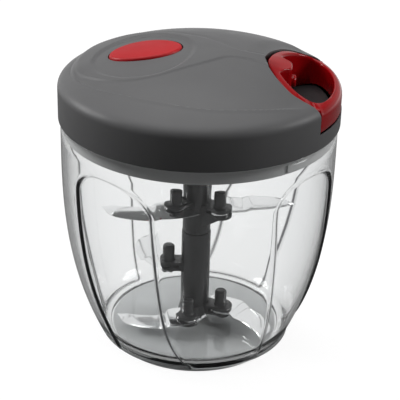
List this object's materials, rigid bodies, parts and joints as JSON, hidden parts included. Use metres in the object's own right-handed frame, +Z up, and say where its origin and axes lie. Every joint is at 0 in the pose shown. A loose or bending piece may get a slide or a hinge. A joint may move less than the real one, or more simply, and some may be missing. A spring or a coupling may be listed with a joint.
{
  "type": "pull-cord food chopper",
  "caption": "Hand food chopper: a clear tapering bowl, curved steel blades on an upright spindle, and a domed grey lid with a red ring handle on a spring-return cord and a red vent button.",
  "frame": {"origin": "centre of the foot, on the surface that the chopper stands on", "axes": "+Z up along the spindle, +X towards the ring handle's pull"},
  "size_m": [0.13, 0.13, 0.1476],
  "materials": {
    "clear_plastic": "clear moulded plastic, polished",
    "grey_rubber": "soft grey rubber",
    "steel": "polished stainless steel with a ground edge",
    "spring_steel": "drawn spring steel",
    "dark_plastic": "dark grey moulded plastic, slight sheen",
    "grey_plastic": "mid grey moulded plastic, fine satin",
    "red_plastic": "glossy red plastic",
    "black_nylon": "black nylon",
    "cord": "braided off-white cord"
  },
  "bodies": {
    "bowl": {"bowl": "clear_plastic", "non_slip_foot": "grey_rubber", "spindle_pin": "steel"},
    "blades": {"lower_spindle": "dark_plastic", "upper_spindle": "dark_plastic", "lower_blade_left": "steel", "lower_blade_right": "steel", "middle_blade": "steel", "upper_blade_left": "steel", "upper_blade_right": "steel"},
    "lid": {"lid_cover": "grey_plastic", "lid_base": "grey_plastic", "lid_seal": "grey_rubber", "reel_axle": "steel", "reel_spring": "spring_steel", "cord_lead": "cord", "cord_guide": "black_nylon", "button_spring": "spring_steel", "lid_screw_1": "steel", "lid_screw_2": "steel", "lid_screw_3": "steel", "lid_screw_4": "steel"},
    "handle": {"handle_ring": "red_plastic", "cord_end": "cord"},
    "reel": {"reel": "black_nylon", "reel_cap": "black_nylon", "cord_winding": "cord"},
    "button": {"vent_button": "red_plastic", "vent_valve": "grey_rubber"}
  },
  "joints": [
    {"name": "blade_spin", "type": "hinge", "parent": "bowl", "child": "blades", "pos_m": [0, 0, 0.012], "axis": [0, 0, 1], "range_deg": [0, 1500]},
    {"name": "lid_lift", "type": "slide", "parent": "bowl", "child": "lid", "axis": [0, 0, 1], "range_m": [0, 0.12]},
    {"name": "handle_pull", "type": "slide", "parent": "lid", "child": "handle", "axis": [1, 0, 0], "range_m": [0, 0.45], "stiffness_N_per_m": 8, "springref_m": -0.1},
    {"name": "reel_spin", "type": "hinge", "parent": "lid", "child": "reel", "pos_m": [0, 0, 0.12], "axis": [0, 0, 1], "range_deg": [0, 1500], "deforming": ["reel_spring", "cord_winding"]},
    {"name": "button_press", "type": "slide", "parent": "lid", "child": "button", "axis": [0, 0, -1], "range_m": [0, 0.0025], "stiffness_N_per_m": 400, "springref_m": -0.004, "deforming": ["button_spring"]}
  ],
  "couplings": [
    {"joint": "reel_spin", "follows": "handle_pull", "rad_per_m": 56.818},
    {"joint": "blade_spin", "follows": "handle_pull", "rad_per_m": 56.818}
  ]
}
